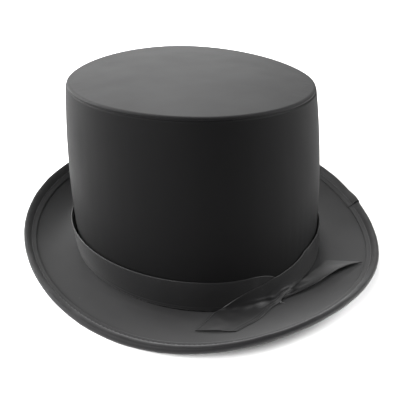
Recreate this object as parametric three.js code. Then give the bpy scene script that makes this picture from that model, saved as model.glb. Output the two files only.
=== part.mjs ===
// A satin-covered top hat with a low, slightly waisted crown, a dished brim with a folded and stitched
// ribbon binding, and a ribbon band whose two ends cross at one side and lie on the brim as a flat bow.
// Millimetres, +Z up. The front of the hat faces -Y and its long axis is Y. The origin is under the middle
// of the brim, on the surface that the hat stands on.
import * as THREE from 'three';

// The head opening
const HEAD_CIRCUMFERENCE = 580;
const HEAD_RATIO = 1.19; // front-to-back over side-to-side
const OVAL_POWER = 1.92; // 2 is an ellipse, and less is a little more pointed at the front and back

// The layers, from the outside in
const COVER = 0.4;
const GAP = 0.3;
const CROWN_CORE = 2.4;
const BRIM_CORE = 1.6;
const LINING = 0.4;
const SWEATBAND = 1.2;
const SWEATBAND_HEIGHT = 34;

// The crown
const CROWN_RISE = 122.2; // from the brim's upper face to the crown's top edge
const CROWN_TAPER = 0.947; // the top edge's size over the base's
const CROWN_BULGE = 3.1; // how far the wall swells at half its height
const CROWN_OFFSET = -2.2; // of the crown's base from the brim's middle, to one side
const CROWN_LEAN = -5.9; // of the top edge from the base, to the same side
const EDGE_SWOOP = 1.25; // the top edge is this much higher at front and back, and lower at the sides
const SHOULDER_RADIUS = 4.5;
const SEAM_ANGLE = THREE.MathUtils.degToRad(32); // up the shoulder, where the tip is sewn to the side
const SHOULDER_MIDDLE = THREE.MathUtils.degToRad(62);
const TIP_DOME = 2.5;
const TIP_ROWS = [0, 0.6, 1]; // the dome is drawn through these shares of the way to the shoulder

// The brim
const BRIM_SIDE = 40.9; // overhang past the crown at the sides
const BRIM_END = 45.9; // and at the front and back
const BRIM_FLAT = 0.12; // the share of the overhang that lies flat beside the crown
const BRIM_CURL = 1.7; // the power of the rise from there to the edge
const BRIM_ROWS = [BRIM_FLAT, 0.35, 0.55, 0.72, 0.87]; // and its shape is drawn through these shares
const EDGE_FRONT = 11; // heights of the edge's middle
const EDGE_REAR = 30.5;
const EDGE_RISE = 1.27;
const REAR_DIP = 6;
// Uneven hand shaping of the edge
const EDGE_TILT = 1; // up at one side, down at the other
const EDGE_TWIST = 2; // up on one diagonal, down on the other
const EDGE_WARP = 3; // three crests round the hat
const WARP_TURN = THREE.MathUtils.degToRad(50); // round to the first of them
const EDGE_RIPPLE = 1.5; // four crests
const RIPPLE_TURN = THREE.MathUtils.degToRad(30);
const BINDING = 0.4;
const BINDING_WIDTH = 8.5;
const BINDING_NOSE = 1.4; // how far in the rounding of its fold goes
const WIRE_DIAMETER = 1.4;

// The band
const RIBBON_WIDTH = 22;
const RIBBON = 0.6;
const BAND_LIFT = 0.4; // of its lower selvedge above the brim
const BAND_UNDER = -75; // degrees round the hat, where the band goes under its own other end
const BAND_OVER = -45; // and where that other end starts down towards the brim
const TACK_LENGTH = 3.2;
const TACK_RADIUS = 0.4;

const SEGMENTS = 48; // round the hat
const BRIM_THICKNESS = COVER + GAP + BRIM_CORE + GAP + COVER;
const WALL = COVER + GAP + CROWN_CORE + GAP + LINING + GAP + SWEATBAND;
const CROWN_TOP = BRIM_THICKNESS + CROWN_RISE;

// Semi-axes of the crown's base oval. An ellipse this round is within 0.2% of PI times their sum.
const HEAD_SUM = HEAD_CIRCUMFERENCE / (1.0019 * Math.PI);
const BASE_X = HEAD_SUM / (1 + HEAD_RATIO) + WALL;
const BASE_Y = HEAD_SUM - HEAD_SUM / (1 + HEAD_RATIO) + WALL;
const EDGE_X = BASE_X + BRIM_SIDE;
const EDGE_Y = BASE_Y + BRIM_END;

const degrees = THREE.MathUtils.degToRad;

function oval(angle, halfX, halfY, power) {
  const bend = (v) => Math.sign(v) * Math.abs(v) ** (2 / power);
  return [halfX * bend(Math.cos(angle)), halfY * bend(Math.sin(angle))];
}

/** A point on the crown's wall at a height, out from the cover's face by a distance. */
function wallPoint(angle, z, out = 0, shapeZ = z) {
  const up = (shapeZ - BRIM_THICKNESS) / CROWN_RISE;
  const size = 1 + (CROWN_TAPER - 1) * up;
  const swell = CROWN_BULGE * 4 * up * (1 - up) + out;
  const [x, y] = oval(angle, BASE_X * size + swell, BASE_Y * size + swell, OVAL_POWER);
  return new THREE.Vector3(x + CROWN_OFFSET + CROWN_LEAN * up, y, z);
}

const edgeOfCrown = (angle) => CROWN_TOP - EDGE_SWOOP * Math.cos(2 * angle);

/** A point on the shoulder, 0 at the wall and PI / 2 at the tip, in from the cover's face by a depth. */
function shoulderPoint(angle, turn, depth) {
  const centre = edgeOfCrown(angle) - SHOULDER_RADIUS;
  const radius = SHOULDER_RADIUS - depth;
  const out = radius * Math.cos(turn) - SHOULDER_RADIUS;
  return wallPoint(angle, centre + radius * Math.sin(turn), out, centre);
}

/** A point on the tip, a share of the way from its middle to the shoulder, a depth below the face. */
function tipPoint(angle, share, depth) {
  const rim = shoulderPoint(angle, Math.PI / 2, depth);
  const middle = CROWN_OFFSET + CROWN_LEAN;
  const swoop = (edgeOfCrown(angle) - CROWN_TOP) * share ** 2;
  const z = CROWN_TOP + TIP_DOME * (1 - share ** 2) + swoop - depth;
  return new THREE.Vector3(middle + (rim.x - middle) * share, rim.y * share, z);
}

function heightOfEdge(angle) {
  const back = Math.sin(angle);
  const rise = (EDGE_REAR - EDGE_FRONT) * ((1 + back) / 2) ** EDGE_RISE;
  const uneven = EDGE_TILT * Math.cos(angle) - EDGE_TWIST * Math.sin(2 * angle)
    + EDGE_WARP * Math.cos(3 * (angle - WARP_TURN)) + EDGE_RIPPLE * Math.cos(4 * (angle - RIPPLE_TURN));
  return EDGE_FRONT + rise - REAR_DIP * Math.max(0, back) ** 6 + uneven;
}

/** A point above the brim's middle surface, a share of the way out from the crown, less an inset. */
function brimPoint(angle, share, above, inset = 0) {
  const [baseX, baseY] = oval(angle, BASE_X, BASE_Y, OVAL_POWER);
  const base = new THREE.Vector2(baseX + CROWN_OFFSET, baseY);
  const edge = new THREE.Vector2(...oval(angle, EDGE_X, EDGE_Y, 2));
  const out = share - inset / base.distanceTo(edge);
  const rise = (Math.max(out - BRIM_FLAT, 0) / (1 - BRIM_FLAT)) ** BRIM_CURL;
  const middle = BRIM_THICKNESS / 2;
  const place = base.lerp(edge, out);
  return new THREE.Vector3(place.x, place.y, middle + (heightOfEdge(angle) - middle) * rise + above);
}

/** A closed geometry from its points and triangles, turned so that its faces point out. */
function solid(points, triangles) {
  const volume = triangles.reduce((sum, [a, b, c]) => {
    return sum + points[a].dot(points[b].clone().cross(points[c]));
  }, 0);
  const turned = volume < 0 ? triangles.map(([a, b, c]) => [a, c, b]) : triangles;
  const geometry = new THREE.BufferGeometry().setFromPoints(points);
  geometry.setIndex(turned.flat());
  geometry.computeVertexNormals();
  return geometry;
}

/**
 * The solid that a closed section makes when it goes once round the hat. Each entry of the section is a
 * function from the angle to a point. With onAxis, its two ends lie on the axis and are one point each.
 */
function sweep(section, onAxis = false) {
  const points = [];
  const rows = section.map((at, i) => {
    const count = onAxis && (i === 0 || i === section.length - 1) ? 1 : SEGMENTS;
    const row = { start: points.length, count };
    for (let k = 0; k < count; k++) points.push(at((2 * Math.PI * k) / SEGMENTS));
    return row;
  });
  const corner = (row, k) => row.start + (k % row.count);
  const triangles = [];
  for (let i = 0; i < (onAxis ? rows.length - 1 : rows.length); i++) {
    const [near, far] = [rows[i], rows[(i + 1) % rows.length]];
    for (let k = 0; k < SEGMENTS; k++) {
      if (near.count > 1) triangles.push([corner(near, k), corner(near, k + 1), corner(far, k)]);
      if (far.count > 1) triangles.push([corner(near, k + 1), corner(far, k + 1), corner(far, k)]);
    }
  }
  return solid(points, triangles);
}

/** A strip of ribbon through pairs of points, one on each selvedge, thickened to one side. */
function ribbon(stations, thickness) {
  const middles = stations.map(([upper, lower]) => upper.clone().lerp(lower, 0.5));
  const points = stations.flatMap(([upper, lower], i) => {
    const along = middles[Math.min(i + 1, middles.length - 1)].clone().sub(middles[Math.max(i - 1, 0)]);
    const face = upper.clone().sub(lower).cross(along).setLength(thickness);
    return [upper, lower, lower.clone().add(face), upper.clone().add(face)];
  });
  const triangles = [];
  const quad = (a, b, c, d) => triangles.push([a, b, c], [a, c, d]);
  // Both faces are split along the same diagonal, so they stay parallel where the strip twists.
  for (let i = 0; i < points.length - 4; i += 4) {
    quad(i, i + 1, i + 5, i + 4);
    quad(i + 1, i + 2, i + 6, i + 5);
    quad(i + 3, i + 7, i + 6, i + 2);
    quad(i + 3, i, i + 4, i + 7);
  }
  const last = points.length - 4;
  quad(3, 2, 1, 0);
  quad(last, last + 1, last + 2, last + 3);
  return solid(points, triangles);
}

// The crown's shells. Each wall goes down through the brim's opening and stands on the brim's under cover.
const WALL_FOOT = COVER + GAP;
const WALL_LEVELS = [0, 0.12, 0.32, 0.55, 0.78, 1];
const CORE_DEPTH = COVER + GAP;
const LINING_DEPTH = CORE_DEPTH + CROWN_CORE + GAP;
const SWEATBAND_DEPTH = LINING_DEPTH + LINING + GAP;

const onShoulder = (turn, depth) => (angle) => shoulderPoint(angle, turn, depth);

/** Half the angle that leaves a gap between a side shell and its tip shell, at a depth. */
const halfSeam = (depth) => GAP / 2 / (SHOULDER_RADIUS - depth);

/** One layer of the crown's side, from the foot of the wall to the seam on the shoulder. */
function sideShell(outer, inner) {
  const levels = (depth) => WALL_LEVELS.map((share) => (angle) => {
    const top = edgeOfCrown(angle) - SHOULDER_RADIUS;
    return wallPoint(angle, WALL_FOOT + (top - WALL_FOOT) * share, -depth);
  });
  return sweep([
    ...levels(outer),
    onShoulder(SEAM_ANGLE - halfSeam(outer), outer),
    onShoulder(SEAM_ANGLE - halfSeam(inner), inner),
    ...levels(inner).toReversed(),
  ]);
}

/** One layer of the crown's tip, from its middle over the shoulder to the seam. */
function tipShell(outer, inner) {
  const rows = (depth) => [
    ...TIP_ROWS.map((share) => (angle) => tipPoint(angle, share, depth)),
    onShoulder(SHOULDER_MIDDLE, depth),
    onShoulder(SEAM_ANGLE + halfSeam(depth), depth),
  ];
  return sweep([...rows(outer), ...rows(inner).toReversed()], true);
}

/** A band of leather cloth that stands inside the head opening. */
function sweatband() {
  const level = (z, depth) => (angle) => wallPoint(angle, z, -depth);
  const [outer, inner] = [SWEATBAND_DEPTH, SWEATBAND_DEPTH + SWEATBAND];
  const top = SWEATBAND_HEIGHT;
  return sweep([level(0, outer), level(top, outer), level(top, inner), level(0, inner)]);
}

// The brim's layers. Beside the crown each one stops a gap short of the crown's cover.
const COVER_INSET = BINDING_NOSE + GAP; // of the two covers' outer edges from the brim's edge
const WIRE_INSET = COVER_INSET + WIRE_DIAMETER / 2;
const CORE_INSET = WIRE_INSET + WIRE_DIAMETER / 2 + GAP;
const HALF_BRIM = BRIM_THICKNESS / 2;

function brimLayer(low, high, edgeInset, innerEdge) {
  const rows = (above) => [
    innerEdge(above),
    ...BRIM_ROWS.map((share) => (angle) => brimPoint(angle, share, above)),
    (angle) => brimPoint(angle, 1, above, edgeInset),
  ];
  return sweep([...rows(low), ...rows(high).toReversed()]);
}

const innerEdgeAt = (out) => (above) => (angle) => wallPoint(angle, HALF_BRIM + above, out, BRIM_THICKNESS);

const brimTopCover = () => brimLayer(HALF_BRIM - COVER, HALF_BRIM, COVER_INSET, innerEdgeAt(GAP));
const brimCore = () => brimLayer(-BRIM_CORE / 2, BRIM_CORE / 2, CORE_INSET, innerEdgeAt(GAP));

/** The under cover also runs in below the crown's walls. The hat stands on its flat inner ring. */
const UNDER_COVER_REACH = LINING_DEPTH + LINING;
const brimUnderCover = () => {
  return brimLayer(-HALF_BRIM, COVER - HALF_BRIM, COVER_INSET, innerEdgeAt(-UNDER_COVER_REACH));
};

/** The spring wire that holds the brim's curl. */
function brimWire() {
  const sides = 6;
  const radius = WIRE_DIAMETER / 2;
  return sweep(Array.from({ length: sides }, (_, i) => {
    const turn = (2 * Math.PI * i) / sides;
    return (angle) => brimPoint(angle, 1, radius * Math.sin(turn), WIRE_INSET + radius * Math.cos(turn));
  }));
}

/** The ribbon folded over the edge: a rounded nose with a flat leaf above and below the covers. */
function brimBinding() {
  const rows = (depth) => {
    const half = HALF_BRIM + GAP + BINDING - depth;
    const leaf = (above) => (angle) => brimPoint(angle, 1, above, BINDING_WIDTH);
    const nose = (turn) => (angle) => {
      return brimPoint(angle, 1, half * Math.sin(turn), depth + BINDING_NOSE * (1 - Math.cos(turn)));
    };
    return [leaf(-half), ...[-90, -45, 0, 45, 90].map((turn) => nose(degrees(turn))), leaf(half)];
  };
  return sweep([...rows(0), ...rows(BINDING).toReversed()]);
}

// The band is one ribbon. Each station is a point on its upper selvedge and one on its lower selvedge.
const onWall = (turn, z, out) => wallPoint(degrees(turn), z, out);
const onBrim = (turn, share, lift) => brimPoint(degrees(turn), share, HALF_BRIM + lift);

/** The end that passes under the other one, from its slanting cut on the brim to the crossing. */
const sideTail = [
  [onBrim(-29, 0.22, 0.5), onBrim(-31.3, 0.77, 0.9)],
  [onBrim(-34, 0.15, 0.6), onBrim(-35, 0.56, 3.4)],
  [onBrim(-40.5, 0.08, 0.7), onBrim(-42.7, 0.4, 4.4)],
  [onBrim(-47, 0.05, 0.7), onBrim(-49.5, 0.32, 3.5)],
  [onWall(-52.5, 5.5, 0.6), onBrim(-54.8, 0.22, 2.1)],
  [onWall(-60, 12, 0.4), onBrim(-61.6, 0.12, 0.7)],
  [onWall(-67.5, 20, GAP), onWall(-67.5, 3.9, 0.6)],
];

/** The end that comes down over the crossing to its slanting cut on the brim. */
const frontTail = [
  [onWall(-52.5, 23.2, 0.8), onWall(-52.5, 6.8, 3.2)],
  [onWall(-60, 21, 1.5), onWall(-60, 6.2, 5)],
  [onWall(-66, 19.5, 1.6), onBrim(-65, 0.15, 1.6)],
  [onWall(-75, 16, 1.6), onBrim(-71, 0.22, 0.8)],
  [onWall(-83, 11, 1.8), onBrim(-75.5, 0.31, 0.6)],
  [onWall(-88.6, 6, 1.8), onBrim(-79.5, 0.39, 0.5)],
  [onBrim(-94.5, 0.18, 0.9), onBrim(-84, 0.49, 0.5)],
  [onBrim(-99.9, 0.5, 0.9), onBrim(-87.2, 0.57, 0.5)],
];

function hatBand() {
  const round = [];
  const foot = BRIM_THICKNESS + BAND_LIFT;
  for (let turn = BAND_UNDER; turn >= BAND_OVER - 360; turn -= 360 / SEGMENTS) {
    round.push([onWall(turn, foot + RIBBON_WIDTH, GAP), onWall(turn, foot, GAP)]);
  }
  return ribbon([...sideTail, ...round, ...frontTail], RIBBON);
}

const satin = (color, roughness = 0.42) => new THREE.MeshStandardMaterial({ color, roughness, metalness: 0 });
const blackSatin = satin('#1d1c1f');
const ribbonSatin = satin('#232225', 0.38);
const liningSatin = satin('#17171a', 0.5);
const stiffFelt = satin('#2b2b2d', 0.95);
const sweatCloth = satin('#1a1919', 0.8);
const springSteel = new THREE.MeshStandardMaterial({ color: '#8d8f92', roughness: 0.4, metalness: 1 });
const thread = satin('#3a393c', 0.7);

const group = new THREE.Group();

function add(name, geometry, material) {
  const mesh = new THREE.Mesh(geometry, material);
  mesh.name = name;
  group.add(mesh);
  return mesh;
}

add('crown_side_cover', sideShell(0, COVER), blackSatin);
add('crown_tip_cover', tipShell(0, COVER), blackSatin);
add('crown_side_core', sideShell(CORE_DEPTH, CORE_DEPTH + CROWN_CORE), stiffFelt);
add('crown_tip_core', tipShell(CORE_DEPTH, CORE_DEPTH + CROWN_CORE), stiffFelt);
add('crown_side_lining', sideShell(LINING_DEPTH, LINING_DEPTH + LINING), liningSatin);
add('crown_tip_lining', tipShell(LINING_DEPTH, LINING_DEPTH + LINING), liningSatin);
add('sweatband', sweatband(), sweatCloth);
add('brim_top_cover', brimTopCover(), blackSatin);
add('brim_core', brimCore(), stiffFelt);
add('brim_under_cover', brimUnderCover(), blackSatin);
add('brim_wire', brimWire(), springSteel);
add('brim_binding', brimBinding(), ribbonSatin);
add('hat_band', hatBand(), ribbonSatin);

// A few turns of thread sew both ends of the band down where they cross.
const tack = add('band_tack', new THREE.CapsuleGeometry(TACK_RADIUS, TACK_LENGTH, 3, 8), thread);
tack.position.copy(onBrim(-64.5, 0.19, 0.8));
tack.rotation.z = degrees(-60);

export default group;
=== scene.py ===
"""The looks of the top hat: satin covers, ribbon binding and band, lining, thread, camera and studio light."""

import math

import bmesh
import bpy
import numpy as np
from mathutils import Matrix, Vector


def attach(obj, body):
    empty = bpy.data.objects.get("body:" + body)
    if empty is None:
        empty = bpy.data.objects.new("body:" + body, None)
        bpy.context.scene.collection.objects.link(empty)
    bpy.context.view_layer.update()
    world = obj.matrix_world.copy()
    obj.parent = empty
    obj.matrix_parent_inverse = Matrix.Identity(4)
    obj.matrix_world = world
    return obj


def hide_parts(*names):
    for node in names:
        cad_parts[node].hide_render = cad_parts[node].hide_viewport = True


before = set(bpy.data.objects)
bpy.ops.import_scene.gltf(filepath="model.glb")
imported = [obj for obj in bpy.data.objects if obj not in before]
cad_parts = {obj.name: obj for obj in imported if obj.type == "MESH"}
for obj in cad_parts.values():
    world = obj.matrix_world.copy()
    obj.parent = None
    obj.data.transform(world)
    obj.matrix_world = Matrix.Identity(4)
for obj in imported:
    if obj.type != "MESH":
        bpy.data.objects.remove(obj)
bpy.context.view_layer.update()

MM = 0.001

# The hat's form, in millimetres, as in the CAD part
HEAD_SUM = 580 / (1.0019 * math.pi)
HEAD_RATIO = 1.19
OVAL_POWER = 1.92
COVER = 0.4
GAP = 0.3
CROWN_CORE = 2.4
BRIM_CORE = 1.6
LINING = 0.4
SWEATBAND = 1.2
SWEATBAND_HEIGHT = 34
CROWN_RISE = 122.2
CROWN_TAPER = 0.947
CROWN_BULGE = 3.1
CROWN_OFFSET = -2.2
CROWN_LEAN = -5.9
EDGE_SWOOP = 1.25
SHOULDER_RADIUS = 4.5
SATIN_CORNER = 3.2  # the satin is pulled tighter over the shoulder than the core's own rounding
TIP_DOME = 2.5
BRIM_SIDE = 40.9
BRIM_END = 45.9
BRIM_FLAT = 0.12
BRIM_CURL = 1.7
EDGE_FRONT = 11
EDGE_REAR = 30.5
EDGE_RISE = 1.27
REAR_DIP = 6
EDGE_TILT = 1
EDGE_TWIST = 2
EDGE_WARP = 3
WARP_TURN = math.radians(50)
EDGE_RIPPLE = 1.5
RIPPLE_TURN = math.radians(30)
RIBBON_WIDTH = 22

BRIM_THICKNESS = COVER + GAP + BRIM_CORE + GAP + COVER
HALF_BRIM = BRIM_THICKNESS / 2
CORE_DEPTH = COVER + GAP
LINING_DEPTH = CORE_DEPTH + CROWN_CORE + GAP
SWEATBAND_DEPTH = LINING_DEPTH + LINING + GAP
WALL = SWEATBAND_DEPTH + SWEATBAND
CROWN_TOP = BRIM_THICKNESS + CROWN_RISE
BASE_X = HEAD_SUM / (1 + HEAD_RATIO) + WALL
BASE_Y = HEAD_SUM - HEAD_SUM / (1 + HEAD_RATIO) + WALL
EDGE_X = BASE_X + BRIM_SIDE
EDGE_Y = BASE_Y + BRIM_END


# ---------------------------------------------------------------- form


def oval(angle, half_x, half_y, power):
    def bend(v):
        return np.sign(v) * np.abs(v) ** (2 / power)

    return half_x * bend(np.cos(angle)), half_y * bend(np.sin(angle))


def wall_point(angle, z, out=0.0, shape_z=None):
    """A point on the crown's wall at a height, out from the cover's face by a distance."""
    z = np.asarray(z, float)
    up = ((z if shape_z is None else shape_z) - BRIM_THICKNESS) / CROWN_RISE
    size = 1 + (CROWN_TAPER - 1) * up
    swell = CROWN_BULGE * 4 * up * (1 - up) + out
    x, y = oval(angle, BASE_X * size + swell, BASE_Y * size + swell, OVAL_POWER)
    x, y, z = np.broadcast_arrays(x + CROWN_OFFSET + CROWN_LEAN * up, y, z)
    return np.stack([x, y, z], -1)


def edge_of_crown(angle):
    return CROWN_TOP - EDGE_SWOOP * np.cos(2 * angle)


def shoulder_point(angle, turn, depth=0.0, corner=SHOULDER_RADIUS):
    """A point on the shoulder, 0 at the wall and pi / 2 at the tip, in from the cover's face by a depth."""
    centre = edge_of_crown(angle) - corner
    radius = corner - depth
    out = radius * np.cos(turn) - corner
    return wall_point(angle, centre + radius * np.sin(turn), out, centre)


def tip_point(angle, share, depth=0.0, corner=SHOULDER_RADIUS):
    """A point on the tip, a share of the way from its middle to the shoulder, a depth below the face."""
    rim = shoulder_point(angle, math.pi / 2, depth, corner)
    middle = CROWN_OFFSET + CROWN_LEAN
    swoop = (edge_of_crown(angle) - CROWN_TOP) * share**2
    z = CROWN_TOP + TIP_DOME * (1 - share**2) + swoop - depth
    return np.stack(np.broadcast_arrays(middle + (rim[..., 0] - middle) * share, rim[..., 1] * share, z), -1)


def height_of_edge(angle):
    back = np.sin(angle)
    rise = (EDGE_REAR - EDGE_FRONT) * ((1 + back) / 2) ** EDGE_RISE
    uneven = EDGE_TILT * np.cos(angle) - EDGE_TWIST * np.sin(2 * angle)
    uneven = uneven + EDGE_WARP * np.cos(3 * (angle - WARP_TURN)) + EDGE_RIPPLE * np.cos(4 * (angle - RIPPLE_TURN))
    return EDGE_FRONT + rise - REAR_DIP * np.maximum(0, back) ** 6 + uneven


def brim_point(angle, share, above=0.0, inset=0.0):
    """A point above the brim's middle surface, a share of the way out from the crown, less an inset."""
    base_x, base_y = oval(angle, BASE_X, BASE_Y, OVAL_POWER)
    base_x = base_x + CROWN_OFFSET
    edge_x, edge_y = oval(angle, EDGE_X, EDGE_Y, 2)
    out = share - inset / np.hypot(edge_x - base_x, edge_y - base_y)
    rise = (np.maximum(out - BRIM_FLAT, 0) / (1 - BRIM_FLAT)) ** BRIM_CURL
    z = HALF_BRIM + (height_of_edge(angle) - HALF_BRIM) * rise + above
    parts = base_x + (edge_x - base_x) * out, base_y + (edge_y - base_y) * out, z
    return np.stack(np.broadcast_arrays(*parts), -1)


def ripple(seed, angle, counts, drift=0.0):
    """A smooth random wave round the hat, about 1 high, from whole numbers of turns."""
    rng = np.random.default_rng(seed)
    total = 0.0
    for count in counts:
        total = total + rng.normal() * np.cos(count * angle + rng.uniform(0, 2 * math.pi) + rng.normal() * drift)
    return total / math.sqrt(len(counts))


def patches(seed, x, y, size, waves=7):
    """A smooth random field over a flat area, about 1 high, with features of about this size."""
    rng = np.random.default_rng(seed)
    total = 0.0
    for _ in range(waves):
        way, pace = rng.uniform(0, 2 * math.pi), rng.uniform(0.6, 1.5) * 2 * math.pi / size
        total = total + np.cos(pace * (x * math.cos(way) + y * math.sin(way)) + rng.uniform(0, 2 * math.pi))
    return total * math.sqrt(2 / waves)


def hill(x, middle, width):
    return np.exp(-(((x - middle) / width) ** 2))


def ramp(x, start, end):
    t = np.clip((x - start) / (end - start), 0, 1)
    return t * t * (3 - 2 * t)


def around(count, *fine):
    """Angles once round the hat, with extra ones close to each (middle, half width, count) in fine."""
    base = np.linspace(0, 2 * math.pi, count, endpoint=False)
    for middle, half, extra in fine:
        base = base[np.abs(np.angle(np.exp(1j * (base - middle)))) > half]
        base = np.append(base, (middle + np.linspace(-half, half, extra)) % (2 * math.pi))
    return np.sort(base)


def spline(points, at):
    """Points on a smooth curve through rows of points, at shares of its length by chord. at goes from 0 to 1."""
    points = np.asarray(points, float)
    flat = points.reshape(len(points), -1)
    mid = points if points.ndim == 2 else points.mean(1)
    steps = np.linalg.norm(np.diff(mid, axis=0), axis=1)
    knots = np.concatenate([[0], np.cumsum(steps)])
    slopes = np.diff(flat, axis=0) / np.diff(knots)[:, None]
    h = np.diff(knots)
    inner = (slopes[:-1] * h[1:, None] + slopes[1:] * h[:-1, None]) / (h[:-1] + h[1:])[:, None]
    tangents = np.vstack([slopes[:1], inner, slopes[-1:]])
    s = np.asarray(at) * knots[-1]
    k = np.clip(np.searchsorted(knots, s, side="right") - 1, 0, len(knots) - 2)
    width = h[k][:, None]
    t = ((s - knots[k]) / h[k])[:, None]
    out = (
        (2 * t**3 - 3 * t**2 + 1) * flat[k]
        + (t**3 - 2 * t**2 + t) * width * tangents[k]
        + (-2 * t**3 + 3 * t**2) * flat[k + 1]
        + (t**3 - t**2) * width * tangents[k + 1]
    )
    return out.reshape((len(s),) + points.shape[1:])


def normals(grid, wrap):
    """Unit normals of a grid of points, from rows crossed with columns."""
    down = np.gradient(grid, axis=0)
    if wrap:
        across = np.roll(grid, -1, axis=1) - np.roll(grid, 1, axis=1)
    else:
        across = np.gradient(grid, axis=1)
    n = np.cross(across, down)
    length = np.linalg.norm(n, axis=-1, keepdims=True)
    return n / np.maximum(length, 1e-9)


# ---------------------------------------------------------------- meshes


def grid_faces(rows, cols, wrap, offset, flip):
    i, k = np.meshgrid(np.arange(rows - 1), np.arange(cols if wrap else cols - 1), indexing="ij")
    i, k = i.ravel(), k.ravel()

    def corner(di, dk):
        return offset + (i + di) * cols + (k + dk) % cols, (i + di) * (cols + 1) + k + dk

    order = [(0, 0), (1, 0), (1, 1), (0, 1)] if flip else [(0, 0), (0, 1), (1, 1), (1, 0)]
    corners = [corner(*c) for c in order]
    return np.stack([c[0] for c in corners], -1), np.stack([c[1] for c in corners], -1)


def cloth_uv(grid, wrap):
    """Lengths along and across a grid, in metres, with one more column than the grid."""
    whole = np.concatenate([grid, grid[:, :1] if wrap else grid[:, -1:]], axis=1)
    along = np.linalg.norm(np.diff(whole, axis=1), axis=-1)
    u = np.concatenate([np.zeros((len(grid), 1)), np.cumsum(along, axis=1)], axis=1)
    across = np.linalg.norm(np.diff(whole, axis=0), axis=-1)
    v = np.concatenate([np.zeros((1, whole.shape[1])), np.cumsum(across, axis=0)], axis=0)
    middle = u[len(u) // 2]
    return np.stack([np.broadcast_to(middle, u.shape), v], -1) * MM


def sheet_mesh(name, front, back, wrap=True, flat_uv=False):
    """A closed thin sheet from its two faces, grids of points in millimetres, with a map of its threads."""
    rows, cols = front.shape[:2]
    count = rows * cols
    points = np.concatenate([front.reshape(-1, 3), back.reshape(-1, 3)]) * MM
    uv = cloth_uv(front, wrap)
    if flat_uv:
        whole = np.concatenate([front, front[:, :1] if wrap else front[:, -1:]], axis=1)
        uv = whole[..., :2] * MM
    uv = uv.reshape(-1, 2)
    faces, maps = [], []
    for offset, flip in ((0, False), (count, True)):
        f, m = grid_faces(rows, cols, wrap, offset, flip)
        faces.append(f)
        maps.append(m)
    spans = np.arange(cols if wrap else cols - 1)
    for row, flip in ((0, True), (rows - 1, False)):
        a, b = row * cols + spans, row * cols + (spans + 1) % cols
        quad = np.stack([a, b, b + count, a + count], -1)
        m = np.stack([row * (cols + 1) + spans + d for d in (0, 1, 1, 0)], -1)
        faces.append(quad[:, ::-1] if flip else quad)
        maps.append(m[:, ::-1] if flip else m)
    if not wrap:
        spans = np.arange(rows - 1)
        for col, flip in ((0, False), (cols - 1, True)):
            a, b = spans * cols + col, (spans + 1) * cols + col
            quad = np.stack([a, b, b + count, a + count], -1)
            m = np.stack([(spans + d) * (cols + 1) + col for d in (0, 1, 1, 0)], -1)
            faces.append(quad[:, ::-1] if flip else quad)
            maps.append(m[:, ::-1] if flip else m)
    faces, maps = np.concatenate(faces), np.concatenate(maps)
    a, b, c, d = (points[faces[:, j]] for j in range(4))
    volume = np.einsum("ij,ij->i", a, np.cross(b, c)).sum() + np.einsum("ij,ij->i", a, np.cross(c, d)).sum()
    if volume < 0:
        faces, maps = faces[:, ::-1], maps[:, ::-1]
    return finish_mesh(name, points, faces.tolist(), uv[maps.ravel()])


def finish_mesh(name, points, faces, uv=None, sharp=50):
    mesh = bpy.data.meshes.new(name)
    mesh.from_pydata(points.tolist(), [], faces)
    if uv is not None:
        mesh.uv_layers.new(name="cloth").data.foreach_set("uv", np.ascontiguousarray(uv, float).ravel())
    mesh.polygons.foreach_set("use_smooth", [True] * len(mesh.polygons))
    work = bmesh_of(mesh)
    work.to_mesh(mesh)
    work.free()
    mesh.set_sharp_from_angle(angle=math.radians(sharp))
    mesh.update()
    piece = bpy.data.objects.new(name, mesh)
    bpy.context.scene.collection.objects.link(piece)
    return piece


def bmesh_of(mesh):
    """The mesh with points that fall together made one, as at the middle of a disc."""
    work = bmesh.new()
    work.from_mesh(mesh)
    bmesh.ops.remove_doubles(work, verts=work.verts, dist=1e-7)
    return work


def threads(name, runs, radius, sides=6, rings=5):
    """Short lengths of thread as one mesh. Each run is its two ends and the way it arches, in millimetres."""
    points, faces = [], []
    for start, end, arch in runs:
        start, end, arch = (np.asarray(p, float) for p in (start, end, arch))
        along = (end - start) / np.linalg.norm(end - start)
        side = np.cross(along, arch / max(np.linalg.norm(arch), 1e-9))
        side /= np.linalg.norm(side)
        up = np.cross(side, along)
        first = len(points)
        for t in np.linspace(0, 1, rings):
            middle = start + (end - start) * t + arch * 4 * t * (1 - t)
            thick = radius * (0.35 + 0.65 * math.sin(math.pi * min(max(t, 0.12), 0.88)) ** 0.5)
            for s in range(sides):
                turn = 2 * math.pi * s / sides
                points.append(middle + thick * (side * math.cos(turn) + up * math.sin(turn)))
        for r in range(rings - 1):
            for s in range(sides):
                a, b = first + r * sides + s, first + r * sides + (s + 1) % sides
                faces.append((a, a + sides, b + sides, b))
        faces.append(tuple(first + s for s in range(sides)))
        faces.append(tuple(first + (rings - 1) * sides + s for s in reversed(range(sides))))
    return finish_mesh(name, np.array(points) * MM, faces, sharp=70)


# ---------------------------------------------------------------- materials


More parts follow.
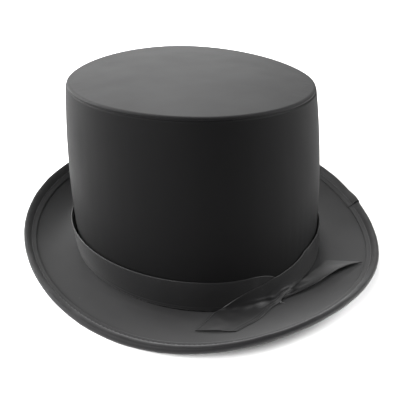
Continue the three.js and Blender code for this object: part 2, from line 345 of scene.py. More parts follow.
class Nodes:
    """A material's nodes, added one at a time."""

    def __init__(self, name):
        self.material = bpy.data.materials.new(name)
        self.material.use_nodes = True
        self.tree = self.material.node_tree
        self.tree.nodes.clear()

    def add(self, kind, inputs=None, **settings):
        node = self.tree.nodes.new(kind)
        for key, value in settings.items():
            setattr(node, key, value)
        for key, value in (inputs or {}).items():
            if isinstance(value, bpy.types.NodeSocket):
                self.tree.links.new(value, node.inputs[key])
            else:
                node.inputs[key].default_value = value
        return node

    def maths(self, operation, *values, clamp=False):
        return self.add("ShaderNodeMath", dict(enumerate(values)), operation=operation, use_clamp=clamp).outputs[0]

    def between(self, value, low, high, to_low, to_high, smooth=False):
        kind = "SMOOTHSTEP" if smooth else "LINEAR"
        inputs = {0: value, 1: low, 2: high, 3: to_low, 4: to_high}
        return self.add("ShaderNodeMapRange", inputs, interpolation_type=kind).outputs[0]

    def mix(self, share, a, b):
        node = self.add("ShaderNodeMix", {0: share}, data_type="RGBA")
        for index, value in ((6, a), (7, b)):
            if isinstance(value, bpy.types.NodeSocket):
                self.tree.links.new(value, node.inputs[index])
            else:
                node.inputs[index].default_value = (*value, 1)
        return node.outputs[2]

    def noise(self, vector, scale, detail=2.0, rough=0.5):
        inputs = {"Vector": vector, "Scale": scale, "Detail": detail, "Roughness": rough}
        return self.add("ShaderNodeTexNoise", inputs).outputs["Fac"]

    def finish(self, **inputs):
        names = {key.replace("_", " "): value for key, value in inputs.items()}
        shader = self.add("ShaderNodeBsdfPrincipled", names)
        output = self.add("ShaderNodeOutputMaterial")
        self.tree.links.new(shader.outputs[0], output.inputs["Surface"])
        return self.material


def woven(name, dark, light, rough, level, sheen=0.0, sheen_rough=0.5, warp=0.00042, weft=0.0005, bump=0.25,
          mottle=0.5, lint=0.0, ribs=0.0, rib_period=0.0011):
    """A woven cloth: threads as relief, uneven dye, slubs, a little lint, and wider cross ribs if asked."""
    n = Nodes(name)
    uv = n.add("ShaderNodeUVMap", uv_map="cloth").outputs[0]
    place = n.add("ShaderNodeTexCoord").outputs["Object"]
    split = n.add("ShaderNodeSeparateXYZ", {0: uv})
    wobble = n.noise(uv, 900.0, 1.0)
    period = math.pi * 2

    def lines(axis, pitch, shift=0.0):
        phase = n.maths("MULTIPLY", split.outputs[axis], period / pitch)
        phase = n.maths("ADD", phase, n.maths("MULTIPLY", wobble, 1.3))
        wave = n.maths("SINE", n.maths("ADD", phase, shift))
        return n.maths("MULTIPLY_ADD", wave, 0.5, 0.5)

    warps, wefts = lines(0, warp), lines(1, weft)
    weave = n.maths("ADD", n.maths("MULTIPLY", warps, 0.65), n.maths("MULTIPLY", wefts, 0.35))
    slub_place = n.add("ShaderNodeMapping", {"Vector": uv, "Scale": (1400.0, 60.0, 1.0)}).outputs[0]
    slub = n.noise(slub_place, 1.0, 2.0, 0.6)
    grain = n.noise(place, 1500.0, 3.0, 0.6)
    cloud = n.noise(place, 26.0, 3.0, 0.55)
    height = n.maths("MULTIPLY_ADD", slub, 0.55, weave)
    height = n.maths("MULTIPLY_ADD", grain, 0.35, height)
    if ribs:
        height = n.maths("MULTIPLY_ADD", lines(0, rib_period, 0.7), ribs, height)
    shade = n.maths("ADD", n.maths("MULTIPLY", cloud, mottle), n.maths("MULTIPLY", slub, 1 - mottle))
    shade = n.maths("MULTIPLY_ADD", weave, 0.18, n.maths("SUBTRACT", shade, 0.09))
    share = n.between(shade, 0.28, 0.72, 0.0, 1.0)
    colour = n.mix(share, dark, light)
    if lint:
        cells = n.add("ShaderNodeTexVoronoi", {"Vector": place, "Scale": 55.0, "Randomness": 1.0})
        fluff = n.noise(place, 2600.0, 1.0)
        reach = n.maths("MULTIPLY_ADD", fluff, 0.02, 0.006)
        speck = n.maths("LESS_THAN", cells.outputs["Distance"], reach)
        colour = n.mix(n.maths("MULTIPLY", speck, lint), colour, (0.32, 0.31, 0.3))
    relief = n.add("ShaderNodeBump", {"Strength": bump, "Distance": 0.00006, "Height": height}).outputs[0]
    rough_now = n.between(cloud, 0.3, 0.7, rough - 0.03, rough + 0.03)
    return n.finish(
        Base_Color=colour, Roughness=rough_now, Specular_IOR_Level=level, Normal=relief,
        Sheen_Weight=sheen, Sheen_Roughness=sheen_rough,
    )


def felt(name, dark, light):
    n = Nodes(name)
    place = n.add("ShaderNodeTexCoord").outputs["Object"]
    fibres = n.noise(place, 1800.0, 4.0, 0.7)
    clumps = n.noise(place, 120.0, 3.0, 0.6)
    shade = n.maths("ADD", n.maths("MULTIPLY", fibres, 0.6), n.maths("MULTIPLY", clumps, 0.4))
    colour = n.mix(n.between(shade, 0.3, 0.7, 0.0, 1.0), dark, light)
    relief = n.add("ShaderNodeBump", {"Strength": 0.6, "Distance": 0.0002, "Height": fibres}).outputs[0]
    return n.finish(Base_Color=colour, Roughness=0.95, Specular_IOR_Level=0.2, Normal=relief, Sheen_Weight=0.3)


def drawn_wire(name):
    n = Nodes(name)
    place = n.add("ShaderNodeTexCoord").outputs["Object"]
    along = {"Vector": place, "Scale": (900.0, 900.0, 4000.0)}
    drawn = n.noise(n.add("ShaderNodeMapping", along).outputs[0], 1.0, 3.0)
    tarnish = n.noise(place, 300.0, 3.0)
    colour = n.mix(n.between(tarnish, 0.35, 0.7, 0.0, 1.0), (0.36, 0.36, 0.37), (0.2, 0.19, 0.18))
    relief = n.add("ShaderNodeBump", {"Strength": 0.3, "Distance": 0.00003, "Height": drawn}).outputs[0]
    return n.finish(Base_Color=colour, Metallic=1.0, Roughness=n.between(drawn, 0.3, 0.7, 0.3, 0.48), Normal=relief)


def twisted_thread(name, dark, light):
    n = Nodes(name)
    place = n.add("ShaderNodeTexCoord").outputs["Object"]
    twist = {"Vector": place, "Rotation": (0.0, 0.6, 0.8), "Scale": (2500.0, 9000.0, 2500.0)}
    strands = n.noise(n.add("ShaderNodeMapping", twist).outputs[0], 1.0, 2.0)
    colour = n.mix(n.between(strands, 0.35, 0.65, 0.0, 1.0), dark, light)
    relief = n.add("ShaderNodeBump", {"Strength": 0.5, "Distance": 0.00008, "Height": strands}).outputs[0]
    return n.finish(Base_Color=colour, Roughness=0.6, Specular_IOR_Level=0.3, Normal=relief, Sheen_Weight=0.2)


def paper(name, level):
    n = Nodes(name)
    place = n.add("ShaderNodeTexCoord").outputs["Object"]
    fine = n.noise(place, 400.0, 3.0)
    colour = n.mix(n.between(fine, 0.3, 0.7, 0.0, 1.0), (level * 0.995,) * 3, (level,) * 3)
    return n.finish(Base_Color=colour, Roughness=0.9, Specular_IOR_Level=0.1)


# The covers (crown, tip, brim) are one black satin and the binding and band one ribbon, yet each copy's base colour,
# specular level and sheen differ by part to match how that part is lit. The crown's copy is darkest, painted shade
# on its walls. The brim's and the binding's are lightest, painted light where they face the lamps. The tip's and the
# band's lie between.
crown_satin_painted_shade = woven(
    "crown_satin_painted_shade", (0.0004, 0.00038, 0.00046), (0.0008, 0.00077, 0.0009),
    0.64, 0.055, 0.03, lint=0.06,
)
tip_satin = woven("tip_satin", (0.0011, 0.00107, 0.0012), (0.0019, 0.00185, 0.0021), 0.55, 0.045, 0.05, lint=0.2)
brim_satin_painted_light = woven("brim_satin_painted_light", (0.0024, 0.0023, 0.0026), (0.004, 0.0039, 0.0043), 0.55, 0.1, 0.11, lint=0.2)
ribbon_satin = woven(
    "ribbon_satin", (0.0014, 0.00135, 0.0015), (0.0024, 0.0023, 0.0026),
    0.45, 0.165, 0.08, ribs=0.8, lint=0.08, bump=0.3,
)
binding_satin_painted_light = woven(
    "binding_satin_painted_light", (0.0026, 0.0025, 0.0028), (0.0044, 0.0042, 0.0047),
    0.55, 0.1, 0.11, ribs=1.0, lint=0.2, bump=0.35,
)
lining_satin = woven("lining_taffeta", (0.006, 0.006, 0.0068), (0.011, 0.011, 0.0122), 0.4, 0.2)
sweat_cloth = woven(
    "sweatband_cloth", (0.010, 0.010, 0.0098), (0.019, 0.0186, 0.018),
    0.72, 0.3, warp=0.0009, weft=0.0008, bump=0.7,
)
core_felt = felt("stiff_felt", (0.02, 0.02, 0.021), (0.034, 0.034, 0.035))
wire_steel = drawn_wire("spring_steel")
sewing_thread = twisted_thread("sewing_thread", (0.02, 0.02, 0.021), (0.05, 0.049, 0.052))
tack_thread = twisted_thread("tack_thread", (0.006, 0.006, 0.0065), (0.014, 0.014, 0.0145))


def show(piece, material, slot, *nodes):
    piece.data.materials.append(material)
    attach(piece, "root")
    if nodes:
        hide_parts(*nodes)
    return piece


# ---------------------------------------------------------------- the crown

BACK = math.pi / 2


def crown_side():
    a = around(330, (BACK, 0.05, 31))
    foot = 1.2
    wall_top = edge_of_crown(a) - SATIN_CORNER
    fine = hill(np.angle(np.exp(1j * (a - math.radians(-48)))), 0, 0.4)
    front, back = [], []
    for t in np.linspace(0, 1, 62):
        fade = ramp(t, 0.1, 0.3) * (1 - ramp(t, 0.86, 1.0))
        streak = 0.009 * ripple(11, a, range(38, 76, 3), 0.8) + 0.014 * ripple(12, a + 0.05 * t, range(17, 34, 3))
        drawn = 0.03 * ripple(14, a, range(70, 120, 7)) * fine * hill(t, 0.3, 0.22)
        soft = 0.1 * ripple(13, a + 0.25 * t, range(3, 10))
        join = 0.1 * hill(a, BACK, 0.025) - 0.3 * hill(a, BACK, 0.0045)
        relief = fade * (streak + soft) + drawn + join
        z = foot + (wall_top - foot) * t
        front.append(wall_point(a, z, relief))
        back.append(wall_point(a, z, relief - COVER))
    for degrees in [3, 7, 11, 15, 18, 21, 24, 27, 30, 34, 39, 44]:
        turn = math.radians(degrees)
        under = 0.58 * ramp(degrees, 2, 28)
        join = (-0.1 * hill(a, BACK, 0.025) + 0.2 * hill(a, BACK, 0.0045)) * (degrees < 12)
        front.append(shoulder_point(a, turn, under + join, SATIN_CORNER))
        back.append(shoulder_point(a, turn, 0.66, SATIN_CORNER))
    return sheet_mesh("crown_side_satin", np.array(front), np.array(back))


def crown_tip():
    a = around(330)
    front, back = [], []

    def unevenness(points):
        x, y = points[..., 0], points[..., 1]
        return 0.09 * patches(21, x, y, 95) + 0.025 * patches(22, x, y, 30)

    def pucker(share):
        return 0.015 * ripple(23, a, range(60, 130, 5)) * ramp(share, 0.86, 0.98)

    for share in np.concatenate([[0], np.linspace(0.02, 0.9, 40), np.linspace(0.91, 1, 12)]):
        top = tip_point(a, share, 0, SATIN_CORNER)
        lift = unevenness(top) * (1 - ramp(share, 0.8, 1.0)) + pucker(share)
        lift = np.where(share == 0, lift[0], lift)
        top[..., 2] += lift
        front.append(top)
        below = top.copy()
        below[..., 2] -= COVER
        back.append(below)
    for degrees in [84, 76, 68, 60, 54, 49, 45, 42, 39.5, 37, 35, 33, 31.5, 30.3, 29.5]:
        turn = math.radians(degrees)
        proud = 0.1 * ramp(-degrees, -66, -46) - 0.5 * ramp(-degrees, -43, -29.5) + pucker(1.0) * (degrees / 84)
        thick = 0.12 + (COVER - 0.12) * ramp(degrees, 30, 55)
        front.append(shoulder_point(a, turn, -proud, SATIN_CORNER))
        back.append(shoulder_point(a, turn, thick - proud, SATIN_CORNER))
    return sheet_mesh("crown_tip_satin", np.array(front), np.array(back), flat_uv=True)


side_satin = show(crown_side(), crown_satin_painted_shade, "black_satin", "crown_side_cover")
top_satin = show(crown_tip(), tip_satin, "black_satin", "crown_tip_cover")


def crown_side_lining():
    a = around(300)
    front, back = [], []
    top = edge_of_crown(a) - SHOULDER_RADIUS
    for t in np.linspace(0, 1, 40):
        z = 1.0 + (top - 1.0) * t
        free = ramp(z, 33, 48) * (1 - ramp(t, 0.9, 1.0))
        fold = 0.55 * (1 + ripple(31, a + 0.1 * t, range(9, 30, 3), 0.5)) * free
        fold = np.clip(fold, 0, 2.2)
        front.append(wall_point(a, z, -LINING_DEPTH - 0.02 - fold))
        back.append(wall_point(a, z, -LINING_DEPTH - LINING - fold))
    for degrees in (8, 16, 24, 30):
        front.append(shoulder_point(a, math.radians(degrees), LINING_DEPTH + 0.02))
        back.append(shoulder_point(a, math.radians(degrees), LINING_DEPTH + LINING))
    return sheet_mesh("crown_side_lining_cloth", np.array(front), np.array(back))


def crown_tip_lining():
    a = around(300)
    front, back = [], []
    for share in np.concatenate([[0], np.linspace(0.03, 1, 34)]):
        top = tip_point(a, share, LINING_DEPTH + 0.02)
        sag = 0.35 * (1 + patches(32, top[..., 0], top[..., 1], 55)) * (1 - ramp(share, 0.7, 1.0))
        sag = np.clip(np.where(share == 0, sag[0], sag), 0, 1.5)
        top[..., 2] -= sag
        front.append(top)
        below = top.copy()
        below[..., 2] -= LINING
        back.append(below)
    for degrees in (75, 60, 48, 38, 33):
        front.append(shoulder_point(a, math.radians(degrees), LINING_DEPTH + 0.02))
        back.append(shoulder_point(a, math.radians(degrees), LINING_DEPTH + LINING))
    return sheet_mesh("crown_tip_lining_cloth", np.array(front), np.array(back), flat_uv=True)


def sweatband():
    a = around(300, (BACK, 0.05, 25))
    wave = 0.35 * ripple(41, a, range(4, 16, 2))
    join = 0.5 * hill(a, BACK, 0.005)
    rows = [(0.05, 0.35), (0.2, 0.12), (0.6, 0), (1.6, 0), (2.4, 0.1), (2.9, 0.22), (3.4, 0.1), (4.2, 0)]
    rows += [(z, 0) for z in np.linspace(6, 30, 14)] + [(31.6, 0.05), (32.6, 0.2), (33.2, 0.3), (33.7, 0.42)]
    front, back = [], []
    for z, thin in rows:
        lift = wave * ramp(z, 8, 34)
        ease = 0.3 * ripple(42, a, range(3, 12, 2)) * ramp(z, 10, 32)
        ease = np.clip(ease, 0, 0.8)
        front.append(wall_point(a, z + lift, -SWEATBAND_DEPTH - thin * 0.5 - ease))
        back.append(wall_point(a, z + lift, -SWEATBAND_DEPTH - SWEATBAND + thin - ease + join))
    return sheet_mesh("sweatband_cloth", np.array(front), np.array(back))


def sweatband_stitches():
    runs = []
    inward = -SWEATBAND_DEPTH - SWEATBAND + 0.12
    count = 170
    for k in range(count):
        a, b = (2 * math.pi * (k + s) / count for s in (0.12, 0.8))
        start, end = wall_point(a, 2.9, inward), wall_point(b, 2.9, inward)
        out = wall_point((a + b) / 2, 2.9, inward - 1) - wall_point((a + b) / 2, 2.9, inward)
        runs.append((start, end, out * 0.12))
    return threads("sweatband_stitches", runs, 0.2)


sweat = show(sweatband(), sweat_cloth, "sweatband_cloth", "sweatband")
sweat_thread = show(sweatband_stitches(), sewing_thread, "thread")
side_lining = show(crown_side_lining(), lining_satin, "lining_cloth", "crown_side_lining")
top_lining = show(crown_tip_lining(), lining_satin, "lining_cloth", "crown_tip_lining")


# ---------------------------------------------------------------- the brim


def brim_relief(a, share, seed):
    place = brim_point(a, share)
    wide = 0.07 * patches(seed, place[..., 0], place[..., 1], 60)
    fine = 0.02 * patches(seed + 1, place[..., 0], place[..., 1], 17)
    return (wide + fine) * ramp(share, 0.1, 0.25)


def brim_top():
    a = around(330)
    front, back = [], []
    for share in np.concatenate([np.linspace(0, BRIM_FLAT, 5), np.linspace(BRIM_FLAT, 0.94, 38)[1:]]):
        at = wall_point(a, BRIM_THICKNESS, GAP) if share == 0 else brim_point(a, share, HALF_BRIM)
        at[..., 2] += 0.03 + brim_relief(a, share, 51)
        front.append(at)
        back.append(at - [0, 0, COVER])
    at = brim_point(a, 1, HALF_BRIM, 1.8)
    front.append(at)
    back.append(at - [0, 0, COVER])
    return sheet_mesh("brim_top_satin", np.array(front), np.array(back), flat_uv=True)


def brim_under():
    a = around(330)
    front, back = [], []
    inner = -LINING_DEPTH - LINING
    for out in np.linspace(inner, GAP, 6):
        at = wall_point(a, 0.0, out, BRIM_THICKNESS)
        front.append(at + [0, 0, COVER])
        back.append(at)
    for share in np.concatenate([np.linspace(0.02, BRIM_FLAT, 4), np.linspace(BRIM_FLAT, 0.94, 34)[1:]]):
        at = brim_point(a, share, -HALF_BRIM)
        at[..., 2] += brim_relief(a, share, 55) * ramp(share, 0.15, 0.4)
        front.append(at + [0, 0, COVER])
        back.append(at)
    at = brim_point(a, 1, -HALF_BRIM, 1.8)
    front.append(at + [0, 0, COVER])
    back.append(at)
    return sheet_mesh("brim_under_satin", np.array(front), np.array(back), flat_uv=True)


LAP = math.radians(2.6)
STITCH_INSET = 5.4
BINDING_PROFILE = [
    (8.55, 1.56), (8.45, 1.95), (8.1, 2.12), (7.2, 2.1), (6.3, 2.06), (5.8, 1.98), (5.4, 1.93), (5.05, 2.02),
    (4.5, 2.3), (3.6, 2.62), (2.5, 2.68), (1.4, 2.4), (0.6, 1.8), (0.15, 0.95), (0, 0),
]


def lap(a):
    """How far the binding's outer end stands up where it lies over the other end."""
    past = np.angle(np.exp(1j * (a - LAP)))
    fall = 1 - ramp(past, math.radians(2.5), math.radians(7))
    return np.where(past > 0, ramp(past, 0, math.radians(0.12)) * fall, 0)


def brim_binding():
    a = around(340, (LAP, 0.02, 41))
    half = np.array(BINDING_PROFILE)
    whole = np.vstack([half, half[-2::-1] * [1, -1]])
    path = spline(np.column_stack([whole, np.zeros(len(whole))]), np.linspace(0, 1, 72))[:, :2]
    step = np.gradient(path, axis=0)
    out = np.column_stack([step[:, 1], -step[:, 0]])
    out /= np.linalg.norm(out, axis=1, keepdims=True)
    if out[len(out) // 2][0] > 0:
        out = -out
    hem = 0.3 * ramp(np.sin(a), -0.25, 0.15) * ramp(np.cos(a), 0, 0.6)
    raised = 0.75 * lap(a)
    slack = 0.1 * ripple(61, a, range(14, 44, 5)) + 0.05 * ripple(62, a, range(50, 90, 7))
    front, back = [], []
    for (inset, above), (nx, ny) in zip(path, out):
        roll = hill(inset, 2.4, 2.2)
        top = 1.0 if above > 0.3 else 0.0
        grow = raised * (0.55 + 0.45 * roll) + np.maximum(slack, -0.08) * roll
        rim = hem * top * ramp(inset, 6.4, 8.2)
        front.append(brim_point(a, 1, above + ny * grow + rim, inset + nx * grow))
        thick = 0.36
        back.append(brim_point(a, 1, above + ny * (grow - thick) + rim, inset + nx * (grow - thick)))
    return sheet_mesh("brim_binding_ribbon", np.array(front), np.array(back))


def binding_stitches():
    runs = []
    count = 270
    for k in range(count):
        a, b = (2 * math.pi * (k + s) / count for s in (0.16, 0.84))
        middle = (a + b) / 2
        for sign in (1, -1):
            above = sign * (1.98 + 0.5 * float(lap(np.array(middle))))
            start, end = brim_point(a, 1, above, STITCH_INSET), brim_point(b, 1, above, STITCH_INSET)
            runs.append((start, end, [0, 0, sign * 0.12]))
    return threads("binding_stitches", runs, 0.17)


brim_upper = show(brim_top(), brim_satin_painted_light, "black_satin", "brim_top_cover")
brim_lower = show(brim_under(), brim_satin_painted_light, "black_satin", "brim_under_cover")
binding = show(brim_binding(), binding_satin_painted_light, "ribbon_satin", "brim_binding")
binding_thread = show(binding_stitches(), sewing_thread, "thread")


# ---------------------------------------------------------------- the band


def on_wall(turn, z, out):
    return wall_point(math.radians(turn), z, out)


def on_brim(turn, share, lift):
    return brim_point(math.radians(turn), share, HALF_BRIM + lift)


W, B = on_wall, on_brim
SIDE_TAIL = [
    [B(-29, 0.22, 0.5), B(-29.1, 0.36, 0.7), B(-29.6, 0.51, 0.9), B(-30.3, 0.65, 1.0), B(-31.3, 0.77, 0.9)],
    [B(-32, 0.17, 0.6), B(-32, 0.29, 1.2), B(-32.3, 0.42, 1.8), B(-32.7, 0.54, 2.4), B(-33.3, 0.645, 2.9)],
    [B(-35.5, 0.13, 0.7), B(-35.6, 0.235, 2.0), B(-36, 0.34, 3.2), B(-36.5, 0.43, 4.2), B(-37, 0.51, 4.8)],
    [B(-40.5, 0.08, 0.8), B(-40.8, 0.175, 2.6), B(-41.3, 0.265, 4.1), B(-42, 0.345, 5.2), B(-42.7, 0.405, 5.7)],
    [B(-46.5, 0.05, 0.8), B(-47, 0.135, 2.5), B(-47.6, 0.21, 3.9), B(-48.4, 0.27, 4.7), B(-49.3, 0.325, 4.8)],
    [W(-52.5, 6.0, 0.6), W(-53, 5.7, 2.4), B(-53.6, 0.12, 2.5), B(-54.2, 0.175, 3.0), B(-54.8, 0.225, 2.9)],
    [W(-57, 9.5, 0.5), W(-57.2, 7.6, 1.6), W(-57.6, 6.0, 3.0), B(-58, 0.12, 1.4), B(-58.5, 0.17, 1.9)],
    [W(-61.5, 15.4, 0.4), W(-61.6, 11.4, 1.0), W(-61.7, 7.8, 2.2), W(-61.9, 5.6, 3.7), B(-62, 0.13, 0.8)],
    [W(-65.3, 20.3, 0.35), W(-65.3, 15.8, 0.5), W(-65.3, 11.2, 1.0), W(-65.2, 7.2, 2.0), B(-65, 0.09, 0.6)],
    [W(-69, 22.8, 0.35), W(-69, 18.0, 0.4), W(-69, 13.2, 0.6), W(-69, 8.6, 0.9), W(-69, 4.6, 1.5)],
    [W(-72, 23.9, 0.4), W(-72, 19.1, 0.4), W(-72, 14.2, 0.45), W(-72, 9.3, 0.55), W(-72, 4.6, 0.9)],
]
FRONT_TAIL = [
    [W(-49, 23.4, 1.3), W(-49, 18.6, 1.6), W(-49, 13.8, 1.9), W(-49, 9.2, 2.4), W(-49, 5.2, 2.9)],
    [W(-53, 22.0, 1.3), W(-53, 17.7, 1.6), W(-53, 13.6, 2.1), W(-53, 9.8, 2.9), W(-53.2, 6.8, 3.7)],
    [W(-57.5, 20.9, 1.3), W(-57.5, 16.8, 1.7), W(-57.5, 12.9, 2.5), W(-57.6, 9.6, 3.7), W(-57.8, 7.2, 4.9)],
    [W(-62, 20.1, 1.4), W(-62, 16.0, 1.8), W(-62, 12.2, 2.7), W(-62, 9.0, 4.1), W(-61.5, 6.4, 5.8)],
    [W(-66, 19.5, 1.5), W(-66.2, 15.0, 1.8), W(-66.4, 10.8, 2.5), W(-66.3, 7.7, 4.2), B(-64.8, 0.16, 1.2)],
    [W(-70.5, 17.8, 1.5), W(-70.3, 12.6, 1.8), W(-70, 8.0, 2.8), B(-69, 0.125, 2.2), B(-68, 0.185, 0.9)],
    [W(-75, 16.5, 1.6), W(-74.6, 11.8, 2.0), W(-74, 7.8, 3.2), B(-72.6, 0.145, 2.0), B(-71.2, 0.22, 0.8)],
    [W(-79, 14.8, 1.7), W(-78.2, 10.4, 2.4), B(-77, 0.095, 3.5), B(-75.4, 0.185, 1.7), B(-73.6, 0.27, 0.7)],
    [W(-83, 11.9, 1.8), W(-81.8, 7.9, 3.0), B(-80, 0.13, 2.6), B(-78, 0.22, 1.3), B(-75.8, 0.32, 0.6)],
    [W(-86.5, 8.7, 1.9), W(-85, 5.9, 3.4), B(-83, 0.17, 1.8), B(-80.6, 0.27, 0.9), B(-78.2, 0.37, 0.5)],
    [W(-89.5, 6.0, 2.2), B(-88, 0.11, 2.0), B(-85.6, 0.23, 1.2), B(-83, 0.33, 0.7), B(-80.6, 0.42, 0.5)],
    [B(-92.3, 0.085, 1.8), B(-90.4, 0.19, 1.2), B(-88, 0.285, 0.8), B(-85.4, 0.375, 0.6), B(-82.8, 0.46, 0.4)],
    [B(-95, 0.2, 1.2), B(-92.6, 0.28, 1.4), B(-90, 0.355, 1.0), B(-87.3, 0.43, 0.6), B(-84.7, 0.5, 0.35)],
    [B(-97.4, 0.34, 0.9), B(-94.8, 0.4, 1.5), B(-91.8, 0.45, 1.5), B(-88.9, 0.5, 0.8), B(-86.1, 0.54, 0.3)],
    [B(-99.9, 0.5, 0.8), B(-96.8, 0.515, 1.5), B(-93.4, 0.54, 2.0), B(-90.2, 0.56, 1.0), B(-87.3, 0.57, 0.35)],
]
CREASE = [0.86, 0.77, 0.74, 0.58, 0.46, 0.34, 0.2]  # where the over end folds out, from FRONT_TAIL's third station


def band_stations():
    round_the_crown = []
    for turn in np.arange(-75, -405.1, -3):
        a = math.radians(turn)
        left = hill(np.angle(np.exp(1j * (a - math.radians(-160)))), 0, math.radians(42))
        right = hill(np.angle(np.exp(1j * (a - math.radians(-18)))), 0, math.radians(36))
        wave = 0.12 * ripple(71, a, range(5, 17, 2))
        foot = BRIM_THICKNESS + 1.3
        top = foot + RIBBON_WIDTH - 1.0 - 0.7 * ramp(turn, -100, -80) - 0.3 * left
        section = []
        for v in (0, 0.25, 0.5, 0.75, 1):
            out = 0.55 + 2.3 * left * (1 - 0.5 * v) + right * (0.95 + 0.95 * v)
            out = out + wave * (0.4 + v * (1 - v)) + 0.15 * v
            section.append(wall_point(a, foot + (top - foot) * (1 - v), max(out, 0.36)))
        round_the_crown.append(section)
    return np.array(SIDE_TAIL + round_the_crown + FRONT_TAIL)


def hat_band():
    stations = band_stations()
    shares = np.linspace(0, 1, 640)
    along = spline(stations, shares)
    steps = np.linalg.norm(np.diff(stations.mean(1), axis=0), axis=1)
    reached = np.concatenate([[0], np.cumsum(steps)]) / steps.sum()
    station = np.interp(shares, reached, np.arange(len(stations)))[:, None]
    edge = np.array([0, 0.12, 0.3, 0.45, 0.62, 0.85, 1.15, 1.6, 2.3])
    low = RIBBON_WIDTH - np.array([0, 0.12, 0.3, 0.5, 0.75, 0.95, 1.2, 1.45, 1.7, 2.1, 2.5, 2.8, 3.1, 3.5])[::-1]
    v = np.concatenate([edge, np.linspace(3.3, 17.6, 15), low])
    grid = np.array([spline(row, v / RIBBON_WIDTH) for row in along])
    ridge = 0.16 * hill(v, 0.4, 0.3) + 0.13 * hill(v, 19.2, 0.26)
    ridge = ridge + 0.13 * hill(v, 20.8, 0.26) + 0.1 * hill(v, 21.7, 0.25)
    thin = 0.24 - 0.12 * hill(v, 0, 0.15) - 0.12 * hill(v, RIBBON_WIDTH, 0.15)
    facing = normals(grid, False)
    middle = len(grid) // 2, len(v) // 2
    if np.dot(facing[middle], grid[middle] - [CROWN_OFFSET, 0, grid[middle][2]]) < 0:
        facing = -facing
    over = len(stations) - len(FRONT_TAIL) + 2
    fold_at = np.interp(station, over + np.arange(len(CREASE)), CREASE)
    fold = 0.55 * hill(v / RIBBON_WIDTH, fold_at, 0.045)
    fold = fold * ramp(station, over - 0.5, over + 1) * (1 - ramp(station, over + 4, over + 7))
    tack_station = len(SIDE_TAIL) - 4
    pleats = 2.3 * v / RIBBON_WIDTH + 0.12 * (station - tack_station)
    gather = 0.35 * hill(station, tack_station, 1.3) * np.cos(2 * math.pi * pleats)
    pinch = 0.22 * hill(station, over + 2, 1.0) * np.cos(2 * math.pi * 3.1 * v / RIBBON_WIDTH + 0.8) * ramp(v, 8, 16)
    grid = grid + facing * (fold + gather + pinch)[..., None]
    front = grid + facing * (thin + ridge)[:, None]
    back = grid - facing * thin[:, None]
    return sheet_mesh("hat_band_ribbon", front, back, wrap=False)


def band_tack():
    runs = []
    across = on_brim(-63, 0.2, 0.9) - on_brim(-66, 0.2, 0.9)
    across /= np.linalg.norm(across)
    outward = on_brim(-64.5, 0.25, 1) - on_brim(-64.5, 0.15, 1)
    outward /= np.linalg.norm(outward)
    heart = on_brim(-64.6, 0.155, 1.3)
    for shift, slant in ((-0.45, 0.25), (0, -0.1), (0.42, 0.15)):
        start = heart + across * shift - outward * 1.5 + [0, 0, 0.9]
        end = heart + across * (shift + slant) + outward * 1.6 - [0, 0, 0.9]
        runs.append((start, end, [0, 0, 0.35]))
    loose = heart + outward * 3.2 + across * 1.4 - [0, 0, 0.35]
    runs.append((heart + outward * 1.4 - [0, 0, 0.6], loose, [0, 0, 0.2]))
    return threads("band_tack_thread", runs, 0.24, sides=8, rings=9)


band = show(hat_band(), ribbon_satin, "ribbon_satin", "hat_band")
tack = show(band_tack(), tack_thread, "thread", "band_tack")

# ---------------------------------------------------------------- the flat cut of the side satin, lining, sweatband, binding and band, worked out and not kept

RING = np.linspace(0, 2 * math.pi, 240, endpoint=False)
MID_WALL = CROWN_TOP / 2


def girth(points):
    """The length round a closed ring, in metres."""
    return float(MM * np.linalg.norm(points - np.roll(points, -1, axis=0), axis=1).sum())


def wall_cut(height, depth):
    return MM * height, girth(wall_point(RING, MID_WALL, -depth))


def band_cut():
    middles = band_stations().mean(axis=1)
    return MM * RIBBON_WIDTH, float(MM * np.linalg.norm(np.diff(middles, axis=0), axis=1).sum())


wall_cut(CROWN_TOP, 0)
wall_cut(CROWN_TOP, LINING_DEPTH)
wall_cut(SWEATBAND_HEIGHT, SWEATBAND_DEPTH)
binding_half = float(np.linalg.norm(np.diff(BINDING_PROFILE, axis=0), axis=1).sum())
binding_cut = 2 * MM * binding_half, girth(brim_point(RING, 1))
band_cut()

HIDDEN = {"crown_side_core": core_felt, "crown_tip_core": core_felt, "brim_core": core_felt, "brim_wire": wire_steel}
for node, material in HIDDEN.items():
    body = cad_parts[node]
    body.data.materials.clear()
    body.data.materials.append(material)


# ---------------------------------------------------------------- the room


def plate(name, centre, half):
    points = np.array([[-half, -half, 0], [half, -half, 0], [half, half, 0], [-half, half, 0]], float) + centre
    return finish_mesh(name, points, [(0, 1, 2, 3)])


floor = plate("floor", [0, 0, -0.0001], 5.0)
floor.data.materials.append(paper("floor_paper", 0.9))


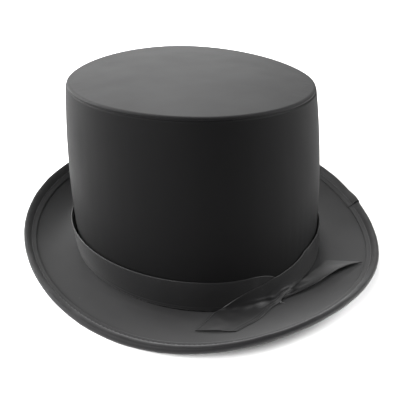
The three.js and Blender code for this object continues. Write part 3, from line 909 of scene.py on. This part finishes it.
def soft_light(name, place, target, size, power):
    light = bpy.data.lights.new(name, "AREA")
    light.shape = "RECTANGLE"
    light.size, light.size_y = size
    light.energy = power
    lamp = bpy.data.objects.new(name, light)
    lamp.location = place
    lamp.rotation_mode = "QUATERNION"
    lamp.rotation_quaternion = (Vector(target) - Vector(place)).to_track_quat("-Z", "Y")
    bpy.context.scene.collection.objects.link(lamp)
    return lamp


LIGHT_REACH = 2.2


def box_light(name, azimuth, elevation, size, power):
    """A soft box that faces the hat. Azimuth 0 is the front and 90 the right."""
    a, e = math.radians(azimuth), math.radians(elevation)
    flat = LIGHT_REACH * math.cos(e)
    place = flat * math.sin(a), -flat * math.cos(a), LIGHT_REACH * math.sin(e)
    return soft_light(name, place, (0, 0, 0.06), (size, size), power)


box_light("left_front", 315, 35, 1.2, 95)
box_light("left", 270, 25, 1.2, 75)
box_light("left_back", 225, 25, 1.2, 75)
box_light("back", 180, 35, 1.2, 30)
box_light("right", 90, 35, 1.2, 75)

world = bpy.data.worlds.new("studio")
world.use_nodes = True
world.node_tree.nodes["Background"].inputs[0].default_value = (1, 1, 1, 1)
world.node_tree.nodes["Background"].inputs[1].default_value = 0.06
bpy.context.scene.world = world
bpy.context.scene.view_settings.view_transform = "Standard"

# ---------------------------------------------------------------- the camera


def camera():
    azimuth, elevation, roll = (math.radians(v) for v in (-8, 25.5, 1))
    place = Vector((-0.0575, -0.408, 0.226))
    level = math.cos(elevation)
    back = Vector((math.sin(azimuth) * level, -math.cos(azimuth) * level, math.sin(elevation)))
    right = (-back).cross(Vector((0, 0, 1))).normalized()
    up = right.cross(-back)
    turned = right * math.cos(roll) + up * math.sin(roll)
    upward = up * math.cos(roll) - right * math.sin(roll)
    data = bpy.data.cameras.new("camera")
    data.sensor_width = 36
    data.lens = 54
    data.clip_start = 0.01
    holder = bpy.data.objects.new("camera", data)
    bpy.context.scene.collection.objects.link(holder)
    holder.matrix_world = Matrix(
        [[turned[i], upward[i], back[i], place[i]] for i in range(3)] + [[0, 0, 0, 1]]
    )
    bpy.context.scene.camera = holder


camera()
